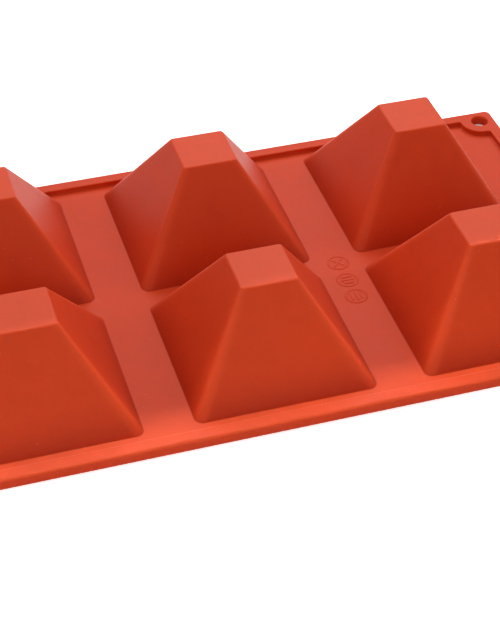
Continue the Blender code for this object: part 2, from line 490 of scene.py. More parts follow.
class SiliconeSkin:
    """The shader group of moulded silicone: mottling, fine grain, dust, a painted edge highlight and painted
    crease shade.
    """

    NAME = "Silicone Skin"
    CLOUD_FINENESS = 7.3
    CLOUD_SHARE = 0.6
    RIPPLE_FINENESS = 2.1
    MIDDLE_OF_MOTTLE = 0.8
    DUST_COLOUR = (0.86, 0.62, 0.52, 1.0)
    DUST_ROUGHNESS = 0.2
    DUST_SIZE = 0.09
    DUST_RARITY = 3.0
    DUST_CRISPNESS = 40.0
    INPUTS = {
        "Place": "Vector",
        "Colour": "Color",
        "Edge Colour": "Color",
        "Edge Mask": "Float",
        "Edge Amount": "Float",
        "Crease Colour": "Color",
        "Crease Mask": "Float",
        "Mottle Scale": "Float",
        "Mottle Amount": "Float",
        "Grain Scale": "Float",
        "Grain Depth": "Float",
        "Ripple Depth": "Float",
        "Dust Scale": "Float",
        "Dust Amount": "Float",
        "Roughness": "Float",
        "Roughness Change": "Float",
    }

    @classmethod
    def tree(cls) -> bpy.types.NodeTree:
        """Gives the group, which is built the first time it is asked for."""
        return bpy.data.node_groups.get(cls.NAME) or cls.build()

    @classmethod
    def build(cls) -> bpy.types.NodeTree:
        """Builds the group.

        Returns:
            The group, with outputs Colour, Roughness and Normal.
        """
        tree = bpy.data.node_groups.new(cls.NAME, "ShaderNodeTree")
        add_sockets(tree, "INPUT", cls.INPUTS)
        add_sockets(tree, "OUTPUT", {"Colour": "Color", "Roughness": "Float", "Normal": "Vector"})
        wiring = Wiring(tree)
        given = wiring.node("NodeGroupInput").outputs
        broad = cls.noise(wiring, given, given["Mottle Scale"], 3.0)
        cloud_scale = wiring.sum("MULTIPLY", given["Mottle Scale"], cls.CLOUD_FINENESS)
        cloud = cls.noise(wiring, given, cloud_scale, 4.0)
        grain = cls.noise(wiring, given, given["Grain Scale"], 2.0)
        ripple_scale = wiring.sum("MULTIPLY", given["Mottle Scale"], cls.RIPPLE_FINENESS)
        ripple = cls.noise(wiring, given, ripple_scale, 1.0)
        dust = cls.dust(wiring, given)

        both = wiring.sum("ADD", broad, wiring.sum("MULTIPLY", cloud, cls.CLOUD_SHARE))
        change = wiring.sum("SUBTRACT", both, cls.MIDDLE_OF_MOTTLE)
        change = wiring.sum("MULTIPLY", change, given["Mottle Amount"])
        # Painted highlight: rounded edges turn towards the paler edge colour. Painted shade: the crease round
        # each cup's foot turns towards the darker crease colour.
        edge = wiring.sum("MULTIPLY", given["Edge Mask"], given["Edge Amount"], clamp=True)
        crease_shaded = cls.mix(wiring, given["Crease Mask"], given["Colour"], given["Crease Colour"])
        edge_highlighted = cls.mix(wiring, edge, crease_shaded, given["Edge Colour"])
        mottled = wiring.node(
            "ShaderNodeHueSaturation", {"Value": wiring.sum("ADD", change, 1.0), "Color": edge_highlighted}
        )
        pale = wiring.sum("MULTIPLY", dust, given["Dust Amount"], clamp=True)
        colour = cls.mix(wiring, pale, mottled.outputs[0], cls.DUST_COLOUR)

        wander = wiring.sum("MULTIPLY", wiring.sum("SUBTRACT", cloud, 0.5), given["Roughness Change"])
        dusty = wiring.sum("MULTIPLY", pale, cls.DUST_ROUGHNESS)
        rough = wiring.sum("ADD", wiring.sum("ADD", given["Roughness"], wander), dusty)

        wavy = wiring.node(
            "ShaderNodeBump", {"Strength": 1.0, "Distance": given["Ripple Depth"], "Height": ripple}
        )
        fine = wiring.node(
            "ShaderNodeBump",
            {"Strength": 1.0, "Distance": given["Grain Depth"], "Height": grain, "Normal": wavy.outputs[0]},
        )
        wiring.node("NodeGroupOutput", {"Colour": colour, "Roughness": rough, "Normal": fine.outputs[0]})
        return tree

    @staticmethod
    def noise(wiring: Wiring, given: object, scale: Link, detail: float) -> bpy.types.NodeSocket:
        """Adds a noise at the surface's own place.

        Args:
            wiring: The group's wiring.
            given: The group's inputs.
            scale: The noise's scale, per metre.
            detail: Its detail.

        Returns:
            The noise's value.
        """
        made = wiring.node(
            "ShaderNodeTexNoise",
            {"Vector": given["Place"], "Scale": scale, "Detail": detail, "Roughness": 0.5},
        )
        return made.outputs[0]

    @staticmethod
    def dust(wiring: Wiring, given: object) -> bpy.types.NodeSocket:
        """Adds a scatter of tiny specks.

        Args:
            wiring: The group's wiring.
            given: The group's inputs.

        Returns:
            A mask, 1 on a speck.
        """
        cells = wiring.node(
            "ShaderNodeTexVoronoi",
            {"Vector": given["Place"], "Scale": given["Dust Scale"], "Randomness": 1.0},
        )
        parts = wiring.node("ShaderNodeSeparateColor", {"Color": cells.outputs["Color"]})
        size = wiring.sum("POWER", parts.outputs[0], SiliconeSkin.DUST_RARITY)
        size = wiring.sum("MULTIPLY", size, SiliconeSkin.DUST_SIZE)
        inside = wiring.sum("SUBTRACT", size, cells.outputs["Distance"])
        return wiring.sum("MULTIPLY", inside, SiliconeSkin.DUST_CRISPNESS, clamp=True)

    @staticmethod
    def mix(wiring: Wiring, share: Link, first: Link, second: Link) -> bpy.types.NodeSocket:
        """Mixes two colours.

        Args:
            wiring: The tree's wiring.
            share: Share of the second colour.
            first: The first colour.
            second: The second colour.

        Returns:
            The mixed colour.
        """
        made = wiring.node("ShaderNodeMix", {"Factor": share}, data_type="RGBA")
        wiring.join(first, made.inputs[6])
        wiring.join(second, made.inputs[7])
        return made.outputs[2]


@dataclass(frozen=True)
class SiliconeFinish:
    """Satin moulded silicone, glossier where the polish attribute says so."""

    name: str
    colour: Colour = (0.58, 0.0420, 0.0090)
    # Paler colour painted on rounded edges and cup tops as a highlight, and how much of it.
    edge_highlight_colour: Colour = (0.74, 0.080, 0.024)
    edge_highlight_amount: float = 0.6
    # Darker colour painted in the crease round each cup's foot as shade.
    crease_shade_colour: Colour = (0.33, 0.016, 0.004)
    roughness: float = 0.42
    roughness_change: float = 0.10
    gloss: float = 0.20
    gloss_tint: Colour = (1.0, 0.70, 0.50)
    polish: float = 0.16
    ior: float = 1.43
    sheen: float = 0.01
    sheen_roughness: float = 0.45
    sheen_tint: Colour = (1.0, 0.86, 0.80)
    mottle_scale: float = 20.0
    mottle_amount: float = 0.20
    grain_scale: float = 1500.0
    grain_depth: float = 0.000012
    ripple_depth: float = 0.0004
    dust_scale: float = 420.0
    dust_amount: float = 0.22

    def material(self) -> bpy.types.Material:
        """Builds the material.

        Returns:
            The material, which reads Object coordinates, the polish attribute, and the painted edge highlight
            and painted crease shade attributes.
        """
        made = bpy.data.materials.new(self.name)
        made.use_nodes = True
        made.node_tree.nodes.clear()
        wiring = Wiring(made.node_tree)
        place = wiring.node("ShaderNodeTexCoord")
        edge = wiring.node("ShaderNodeAttribute", attribute_name=EDGE_HIGHLIGHT_ATTRIBUTE)
        polish = wiring.node("ShaderNodeAttribute", attribute_name=POLISH_ATTRIBUTE)
        crease = wiring.node("ShaderNodeAttribute", attribute_name=CREASE_SHADE_ATTRIBUTE)
        rough = wiring.sum(
            "SUBTRACT", self.roughness, wiring.sum("MULTIPLY", polish.outputs["Fac"], self.polish)
        )
        skin = made.node_tree.nodes.new("ShaderNodeGroup")
        skin.node_tree = SiliconeSkin.tree()
        values = {
            "Place": place.outputs["Object"],
            "Colour": (*self.colour, 1.0),
            "Edge Colour": (*self.edge_highlight_colour, 1.0),
            "Edge Mask": edge.outputs["Fac"],
            "Edge Amount": self.edge_highlight_amount,
            "Crease Colour": (*self.crease_shade_colour, 1.0),
            "Crease Mask": crease.outputs["Fac"],
            "Mottle Scale": self.mottle_scale,
            "Mottle Amount": self.mottle_amount,
            "Grain Scale": self.grain_scale,
            "Grain Depth": self.grain_depth,
            "Ripple Depth": self.ripple_depth,
            "Dust Scale": self.dust_scale,
            "Dust Amount": self.dust_amount,
            "Roughness": rough,
            "Roughness Change": self.roughness_change,
        }
        for name, value in values.items():
            wiring.join(value, skin.inputs[name])
        shader = wiring.node(
            "ShaderNodeBsdfPrincipled",
            {
                "Base Color": skin.outputs["Colour"],
                "Roughness": skin.outputs["Roughness"],
                "Normal": skin.outputs["Normal"],
                "IOR": self.ior,
                "Specular IOR Level": self.gloss,
                "Specular Tint": (*self.gloss_tint, 1.0),
                "Sheen Weight": self.sheen,
                "Sheen Roughness": self.sheen_roughness,
                "Sheen Tint": (*self.sheen_tint, 1.0),
            },
        )
        wiring.node("ShaderNodeOutputMaterial", {"Surface": shader.outputs[0]})
        return made


# ---------------------------------------------------------------------------------------------------------
# The sheet
# ---------------------------------------------------------------------------------------------------------


@dataclass
class Sheet:
    """The flat sheet with its raised rim, its corner boss and the square places that the cups fill."""

    finish: SiliconeFinish
    rim_edge: float = 0.0011
    rim_inner_edge: float = 0.0004
    rim_foot: float = 0.0005
    under_edge: float = 0.0003
    corner: float = 0.0025
    inner_corner: float = 0.0015
    boss_fillet: float = 0.0010
    hole_edge: float = 0.0009
    hole_inset: float = 0.0072
    rim_flat: float = 0.0004
    rim_inner_flat: float = 0.0008
    web_flat: float = 0.0009
    under_flat: float = 0.0010
    under_hole_flat: float = 0.0007
    cup_place: float = 0.0380
    support: float = 0.0006
    flex_steps: int = 16
    slot: str = "sheet_silicone"
    high: Vector = field(init=False)
    web_top: float = field(init=False)
    rim_top: float = field(init=False)
    web_half_length: float = field(init=False)
    web_half_width: float = field(init=False)
    hole_centre: Vector = field(init=False)
    hole_radius: float = field(init=False)
    boss_radius: float = field(init=False)
    flex: tuple[float, float] = field(init=False)

    def __post_init__(self) -> None:
        """Reads the places from the CAD frame."""
        self.high = CAD_BOX[1]
        self.web_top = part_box("middle_web")[1].z
        rim_low, rim_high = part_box("middle_front_rim")
        self.rim_top = rim_high.z
        rim_width = rim_high.y - rim_low.y
        self.web_half_length = self.high.x - rim_width
        self.web_half_width = self.high.y - rim_width
        self.hole_centre, self.hole_radius, self.boss_radius = self.measure_boss()
        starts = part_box("middle_web")[1].x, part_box("right_flex_web")[0].x
        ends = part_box("right_flex_web")[1].x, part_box("right_web")[0].x
        self.flex = sum(starts) / 2, sum(ends) / 2

    def measure_boss(self) -> tuple[Vector, float, float]:
        """Finds the hanging hole in the CAD boss.

        Returns:
            The hole's centre, its radius and the boss's radius.
        """
        corner = Vector((self.high.x, self.high.y))
        boss_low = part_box("hanging_eyelet")[0]
        points = [Vector(v.co[:2]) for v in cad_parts["hanging_eyelet"].data.vertices]
        centre = corner - Vector((self.hole_inset, self.hole_inset))
        radius = min((point - centre).length for point in points)
        return centre, radius, centre.x - boss_low.x

    def outer_path(self) -> list[PathPoint]:
        """Gives the outline of the whole sheet, counterclockwise."""
        x, y, radius = self.high.x - self.corner, self.high.y - self.corner, self.corner
        path = []
        for sign_x, sign_y, start in ((1, -1, -90), (1, 1, 0), (-1, 1, 90), (-1, -1, 180)):
            path += arc_path((sign_x * x, sign_y * y), radius, start, start + 90, True, 8)
        return support_path(path, self.support)

    def inner_path(self) -> list[PathPoint]:
        """Gives the line where the rim and the boss meet the web, counterclockwise."""
        edge_x, edge_y, round_off = self.web_half_length, self.web_half_width, self.inner_corner
        x, y = edge_x - round_off, edge_y - round_off
        centre, boss, fillet = self.hole_centre, self.boss_radius, self.boss_fillet
        across = math.sqrt((boss + fillet) ** 2 - (centre.x - edge_x + fillet) ** 2)
        right = Vector((edge_x - fillet, centre.y - across))
        across = math.sqrt((boss + fillet) ** 2 - (centre.y - edge_y + fillet) ** 2)
        back = Vector((centre.x - across, edge_y - fillet))
        to_boss = math.degrees(math.atan2(centre.y - right.y, centre.x - right.x))
        from_boss = math.degrees(math.atan2(centre.y - back.y, centre.x - back.x))
        path = arc_path((x, -y), round_off, -90, 0, True, 6)
        path += arc_path(tuple(right), fillet, 0, to_boss, True, 6)
        path += arc_path(tuple(centre), boss, to_boss + 180, from_boss + 180, False, 20)[1:-1]
        path += arc_path(tuple(back), fillet, from_boss, 90, True, 6)
        path += arc_path((-x, y), round_off, 90, 180, True, 6)
        path += arc_path((-x, -y), round_off, 180, 270, True, 6)
        return support_path(path, self.support)

    def hole_path(self) -> list[PathPoint]:
        """Gives the outline of the hanging hole."""
        return arc_path(tuple(self.hole_centre), self.hole_radius, 0, 360, False, 48)[:-1]

    def cup_places(self, bm: bmesh.types.BMesh) -> tuple[list, list]:
        """Adds the square openings that the cups fill.

        Args:
            bm: The mesh that they are added to.

        Returns:
            The edges of the openings below and above.
        """
        below, above = [], []
        for row in Row:
            for column in Column:
                low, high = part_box(f"{row.value}_{column.value}_cup_wall")
                middle_x, middle_y = (low.x + high.x) / 2, (low.y + high.y) / 2
                corners = [(-1, -1), (1, -1), (1, 1), (-1, 1)]
                loops = [
                    [
                        bm.verts.new((middle_x + a * self.cup_place, middle_y + b * self.cup_place, z))
                        for a, b in corners
                    ]
                    for z in (0.0, self.web_top)
                ]
                for i in range(4):
                    j = (i + 1) % 4
                    bm.faces.new((loops[0][i], loops[0][j], loops[1][j], loops[1][i]))
                below += [bm.edges.get((loops[0][i], loops[0][(i + 1) % 4])) for i in range(4)]
                above += [bm.edges.get((loops[1][i], loops[1][(i + 1) % 4])) for i in range(4)]
        return below, above

    def whole(self) -> bmesh.types.BMesh:
        """Builds the whole sheet as one closed mesh.

        Returns:
            The mesh.
        """
        top, web = self.rim_top, self.web_top
        bm = bmesh.new()
        # The convex roundings carry painted highlight; the foot of the rim, where it meets the web, carries
        # none.
        outside = round_profile(
            [
                Corner(self.under_flat, 0),
                Corner(0, 0, self.under_edge),
                Corner(0, top, self.rim_edge),
                Corner(self.rim_edge + self.rim_flat, top),
            ]
        )
        inside = round_profile(
            [
                Corner(-self.rim_inner_flat, top),
                Corner(0, top, self.rim_inner_edge),
                Corner(0, web, self.rim_foot, edge=0.0),
                Corner(self.web_flat, web),
            ]
        )
        hole = round_profile(
            [
                Corner(2 * self.hole_edge, top),
                Corner(0, top, self.hole_edge),
                Corner(0, 0, self.under_edge),
                Corner(self.under_hole_flat, 0),
            ]
        )
        outer_low, outer_high = sweep_profile(bm, self.outer_path(), outside)
        rim_loop, web_loop = sweep_profile(bm, self.inner_path(), inside)
        hole_high, hole_low = sweep_profile(bm, self.hole_path(), hole)
        places_low, places_high = self.cup_places(bm)
        fill_flat(bm, outer_low, places_low, hole_low)
        fill_flat(bm, web_loop, places_high)
        fill_flat(bm, outer_high, rim_loop, hole_high)
        return bm

    def build(self) -> list[bpy.types.Object]:
        """Builds the three lengths of the sheet and joins the middle one to its body.

        Returns:
            The middle, left and right sheets.
        """
        material = self.finish.material()
        start, end = self.flex
        made = []
        for column in (Column.MIDDLE, Column.LEFT, Column.RIGHT):
            bm = self.whole()
            if column is Column.MIDDLE:
                cut_sheet(bm, start, keep_below=True)
                cut_sheet(bm, -start, keep_below=False)
            else:
                sign = 1 if column is Column.RIGHT else -1
                cut_sheet(bm, sign * start, keep_below=sign < 0)
                for step in range(1, self.flex_steps + 1):
                    cut_sheet(bm, sign * (start + (end - start) * step / self.flex_steps))
            name = f"{column.value}_sheet"
            piece = new_object(name, finish_mesh(bm, name))
            piece.data.materials.append(material)
            made.append(piece)
            LOG.info("%s: %d faces", name, len(piece.data.polygons))
        middle, left, right = made
        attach(middle, "middle_section")
        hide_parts("middle_web", "middle_front_rim", "middle_back_rim")
        for piece, side, sign in ((left, "left", -1), (right, "right", 1)):
            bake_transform(piece)
            parts = ("web", "flex_web", "rim", "front_flex_rim", "back_flex_rim")
            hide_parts(*(f"{side}_{part}" for part in parts))
        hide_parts("right_back_rim", "hanging_eyelet")
        return made


# ---------------------------------------------------------------------------------------------------------
# The cups
# ---------------------------------------------------------------------------------------------------------


@dataclass
class Cups:
    """The six square cups, each drawn from one rule: a rounded square that shrinks along its section."""

    finish: SiliconeFinish
    wall: float = 0.0017
    end_wall: float = 0.0022
    foot_corner: float = 0.0034
    end_corner: float = 0.0013
    inner_corner: float = 0.0010
    flange: float = 0.0380
    mouth_edge: float = 0.0006
    inner_end_edge: float = 0.0012
    foot_fillet: float = 0.0004
    end_edge: float = 0.0011
    # Painted highlight on the slanted corners, on the top edge and top face, and on the inner walls.
    corner_highlight: float = 0.45
    corner_reach: float = 0.0026
    end_highlight: float = 0.5
    # Painted shade in the crease round each cup's foot: its height, width, strength and fall.
    crease_height: float = 0.0130
    crease_width: float = 0.0004
    crease_shade_strength: float = 0.60
    crease_fall: float = 1.5
    wall_highlight: float = 0.5
    mouth_polish: float = 0.6
    longest_step: float = 0.0025
    points_round: int = 96
    straight_share: float = 0.375
    bend_from: float = 0.0060
    bend_to: float = 0.0380
    slot: str = "cup_silicone"
    web_top: float = field(init=False)
    foot_half: float = field(init=False)
    slope: float = field(init=False)
    top: float = field(init=False)

    def __post_init__(self) -> None:
        """Reads the cups' height and slope from the CAD frame."""
        wall_low, wall_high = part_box("front_middle_cup_wall")
        end_low, end_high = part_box("front_middle_cup_end")
        self.web_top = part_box("middle_web")[1].z
        self.foot_half = (wall_high.x - wall_low.x) / 2
        self.slope = (self.foot_half - (end_high.x - end_low.x) / 2) / end_low.z
        self.top = end_high.z

    def outer_half(self, up: float) -> float:
        """Gives half the outer width at a height."""
        return self.foot_half - self.slope * up

    def inner_half(self, up: float) -> float:
        """Gives half the width of the cavity at a height."""
        return self.outer_half(up) - self.wall * math.hypot(1, self.slope)

    def crease(self, point: ProfilePoint, outside: bool) -> float:
        """Gives how much painted shade a point of the section takes in the crease round the cup's foot.

        Args:
            point: The point.
            outside: Whether it is on the outside of the cup.

        Returns:
            The share of painted crease shade, 0 away from it.
        """
        if not outside:
            return 0.0
        up = (point.up - self.web_top) / self.crease_height
        across = (point.across - self.outer_half(self.web_top)) / self.crease_width
        away = max(0.0, up) + max(0.0, across)
        return self.crease_shade_strength * max(0.0, 1.0 - away) ** self.crease_fall

    def section(self) -> bpy.types.Mesh:
        """Makes the cup's section, from the middle of its floor, down inside, and up outside to its top.

        Returns:
            A mesh of single points: half width along X and height along Z, with the plan corner radius,
            the painted edge highlight, the painted highlight share on the corners, the polish and the painted
            crease shade, as attributes.
        """
        floor = self.top - self.end_wall
        inside = round_profile(
            [
                Corner(0, floor),
                Corner(self.inner_half(floor), floor, self.inner_end_edge, edge=0.0),
                Corner(self.inner_half(0), 0, self.mouth_edge),
                Corner(self.flange, 0),
            ]
        )
        # No painted highlight in the concave foot fillet; the top edge takes the top face's painted
        # highlight.
        outside = round_profile(
            [
                Corner(self.flange, self.web_top),
                Corner(self.outer_half(self.web_top), self.web_top, self.foot_fillet, edge=0.0),
                Corner(self.outer_half(self.top), self.top, self.end_edge, edge=self.end_highlight),
                Corner(0, self.top),
            ]
        )
        inside = divide_profile(inside, self.longest_step)
        outside = divide_profile(outside, self.longest_step)
        rows = []
        for point in inside:
            radius = self.inner_corner + point.across - self.inner_half(point.up)
            flat = point.across >= self.flange - TINY
            on_wall = 0.0 < point.up < floor
            polish = 1.0 if on_wall else self.mouth_polish
            # The inner walls carry painted highlight as well.
            rows.append((point, 0.0 if flat else radius, self.wall_highlight * on_wall, polish))
        for point in outside:
            share = point.up / self.top
            corner = self.foot_corner + (self.end_corner - self.foot_corner) * share
            radius = corner + point.across - self.outer_half(point.up)
            flat = point.across >= self.flange - TINY
            # The slanted outer corners carry painted highlight, and the top face is painted lighter with it.
            on_wall = self.web_top + self.foot_fillet < point.up < self.top
            if point.up >= self.top - TINY:
                point = replace(point, edge=self.end_highlight)
            rows.append((point, 0.0 if flat else radius, self.corner_highlight * on_wall, 0.0))
        mesh = bpy.data.meshes.new("cup_section")
        mesh.from_pydata([(point.across, 0.0, point.up) for point, *_ in rows], [], [])
        columns = {
            "corner_radius": [max(0.0, min(radius, point.across)) for point, radius, *_ in rows],
            "edge": [point.edge for point, *_ in rows],
            "corner_edge": [row[2] for row in rows],
            "gloss": [row[3] for row in rows],
            "crease": [self.crease(point, index >= len(inside)) for index, (point, *_) in enumerate(rows)],
        }
        for name, values in columns.items():
            mesh.attributes.new(name, "FLOAT", "POINT").data.foreach_set("value", values)
        return mesh

    def tree(self) -> tuple[bpy.types.NodeTree, dict[str, str]]:
        """Builds the geometry tree that draws a cup from its section.

        Returns:
            The tree and the identifiers of its inputs by name.
        """
        tree = bpy.data.node_groups.new("Square Cup", "GeometryNodeTree")
        sockets = {
            "Section": "Geometry",
            "Centre": "Vector",
            "Points Round": "Int",
            "Straight Share": "Float",
            "Corner Reach": "Float",
            "Silicone": "Material",
        }
        names = add_sockets(tree, "INPUT", sockets)
        add_sockets(tree, "OUTPUT", {"Cup": "Geometry"})
        wiring = Wiring(tree)
        given = wiring.node("NodeGroupInput").outputs
        count = wiring.node("GeometryNodeAttributeDomainSize", {"Geometry": given["Section"]})
        around = wiring.sum("ADD", given["Points Round"], 1.0)
        grid = wiring.node(
            "GeometryNodeMeshGrid", {"Vertices X": count.outputs["Point Count"], "Vertices Y": around}
        )
        index = wiring.node("GeometryNodeInputIndex").outputs[0]
        level = wiring.sum("FLOOR", wiring.sum("DIVIDE", wiring.sum("ADD", index, 0.5), around))
        step = wiring.sum("SUBTRACT", index, wiring.sum("MULTIPLY", level, around))

        place = wiring.node(
            "GeometryNodeSampleIndex",
            {"Geometry": given["Section"], "Index": level},
            data_type="FLOAT_VECTOR",
        )
        wiring.join(wiring.node("GeometryNodeInputPosition").outputs[0], wiring.pick(place.inputs, "Value"))
        parts = wiring.node("ShaderNodeSeparateXYZ", {"Vector": wiring.out(place, "Value")})
        half, up = parts.outputs["X"], parts.outputs["Z"]
        radius = self.read(wiring, given["Section"], "corner_radius", level)

        quarters = wiring.sum("DIVIDE", wiring.sum("MULTIPLY", step, 4.0), given["Points Round"])
        quarter = wiring.sum("FLOOR", wiring.sum("ADD", quarters, 1e-4))
        along = wiring.sum("SUBTRACT", quarters, quarter)
        share = given["Straight Share"]
        leaving = wiring.sum("SUBTRACT", 1.0, wiring.sum("DIVIDE", along, share, clamp=True))
        leaving = wiring.sum("SUBTRACT", 1.0, wiring.sum("MULTIPLY", leaving, leaving))
        past = wiring.sum("SUBTRACT", along, wiring.sum("SUBTRACT", 1.0, share))
        arriving = wiring.sum("DIVIDE", past, share, clamp=True)
        arriving = wiring.sum("MULTIPLY", arriving, arriving)
        arc = wiring.sum("SUBTRACT", 1.0, wiring.sum("MULTIPLY", share, 2.0))
        turned = wiring.sum("DIVIDE", wiring.sum("SUBTRACT", along, share), arc, clamp=True)
        angle = wiring.sum("MULTIPLY", turned, math.pi / 2)
        flat = wiring.sum("SUBTRACT", half, radius)
        x = wiring.sum("MULTIPLY", wiring.sum("SUBTRACT", 1.0, arriving), flat)
        x = wiring.sum("ADD", x, wiring.sum("MULTIPLY", radius, wiring.sum("COSINE", angle)))
        y = wiring.sum("MULTIPLY", leaving, flat)
        y = wiring.sum("ADD", y, wiring.sum("MULTIPLY", radius, wiring.sum("SINE", angle)))

        point = wiring.node("ShaderNodeCombineXYZ", {"X": x, "Y": y, "Z": up})
        turn = wiring.sum("MULTIPLY", quarter, math.pi / 2)
        spun = wiring.node(
            "ShaderNodeVectorRotate", {"Vector": point.outputs[0], "Angle": turn}, rotation_type="Z_AXIS"
        )
        moved = wiring.node("ShaderNodeVectorMath", operation="ADD")
        wiring.join(spun.outputs[0], moved.inputs[0])
        wiring.join(given["Centre"], moved.inputs[1])

        # Painted highlight along the slanted corners, fading over the corner reach, joined with the section's
        # painted edge highlight.
        away = wiring.sum("ADD", wiring.sum("SUBTRACT", 1.0, leaving), arriving)
        away = wiring.sum("DIVIDE", wiring.sum("MULTIPLY", away, flat), given["Corner Reach"], clamp=True)
        corner = wiring.sum("SUBTRACT", 1.0, away)
        corner = wiring.sum("MULTIPLY", corner, corner)
        corner = wiring.sum("MULTIPLY", corner, self.read(wiring, given["Section"], "corner_edge", level))
        edge = wiring.sum("MAXIMUM", corner, self.read(wiring, given["Section"], "edge", level))
        polish = self.read(wiring, given["Section"], "gloss", level)
        # Painted shade in the crease round the cup's foot.
        crease = self.read(wiring, given["Section"], "crease", level)
        placed = wiring.node(
            "GeometryNodeSetPosition", {"Geometry": grid.outputs["Mesh"], "Position": moved.outputs[0]}
        )
        result = self.keep(wiring, grid.outputs["Mesh"], EDGE_HIGHLIGHT_ATTRIBUTE, edge)
        result = self.keep(wiring, result, POLISH_ATTRIBUTE, polish)
        result = self.keep(wiring, result, CREASE_SHADE_ATTRIBUTE, crease)
        wiring.join(result, placed.inputs["Geometry"])
        merged = wiring.node(
            "GeometryNodeMergeByDistance", {"Geometry": placed.outputs[0], "Distance": 0.000004}
        )
        smooth = wiring.node("GeometryNodeSetShadeSmooth", {"Geometry": merged.outputs[0]})
        real = wiring.node("GeometryNodeRealizeInstances", {"Geometry": smooth.outputs[0]})
        dressed = wiring.node(
            "GeometryNodeSetMaterial", {"Geometry": real.outputs[0], "Material": given["Silicone"]}
        )
        wiring.node("NodeGroupOutput", {"Cup": dressed.outputs[0]})
        return tree, names

    @staticmethod
    def read(
        wiring: Wiring, section: bpy.types.NodeSocket, name: str, level: bpy.types.NodeSocket
    ) -> bpy.types.NodeSocket:
        """Reads a number of the section at a level.

        Args:
            wiring: The tree's wiring.
            section: The section's geometry.
            name: The attribute's name.
            level: Which point of the section.

        Returns:
            The number.
        """
        named = wiring.node("GeometryNodeInputNamedAttribute", {"Name": name}, data_type="FLOAT")
        sample = wiring.node(
            "GeometryNodeSampleIndex", {"Geometry": section, "Index": level}, data_type="FLOAT"
        )
        wiring.join(wiring.out(named, "Attribute"), wiring.pick(sample.inputs, "Value"))
        return wiring.out(sample, "Value")

    @staticmethod
    def keep(
        wiring: Wiring, geometry: bpy.types.NodeSocket, name: str, value: bpy.types.NodeSocket
    ) -> bpy.types.NodeSocket:
        """Stores a number on the points of a geometry.

        Args:
            wiring: The tree's wiring.
            geometry: The geometry.
            name: The attribute's name.
            value: The number.

        Returns:
            The geometry with the attribute.
        """
        stored = wiring.node(
            "GeometryNodeStoreNamedAttribute", {"Geometry": geometry, "Name": name}, data_type="FLOAT"
        )
        wiring.join(value, wiring.pick(stored.inputs, "Value"))
        return stored.outputs[0]

    def build(self) -> list[bpy.types.Object]:
        """Builds the six cups.

        Returns:
            The six cups.
        """
        tree, names = self.tree()
        material = self.finish.material()
        made = []
        for row in Row:
            for column in Column:
                name = f"{row.value}_{column.value}_cup"
                low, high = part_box(f"{name}_wall")
                centre = ((low.x + high.x) / 2, (low.y + high.y) / 2, 0.0)
                values = {
                    names["Centre"]: centre,
                    names["Points Round"]: self.points_round,
                    names["Straight Share"]: self.straight_share,
                    names["Corner Reach"]: self.corner_reach,
                    names["Silicone"]: material,
                }
                cup = run_tree(new_object(name, self.section()), tree, values, name)
                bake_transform(cup)
                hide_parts(f"{name}_wall", f"{name}_end")
                made.append(cup)
                LOG.info("%s: %d faces", name, len(cup.data.polygons))
        return made


# ---------------------------------------------------------------------------------------------------------
# The raised marks
# ---------------------------------------------------------------------------------------------------------


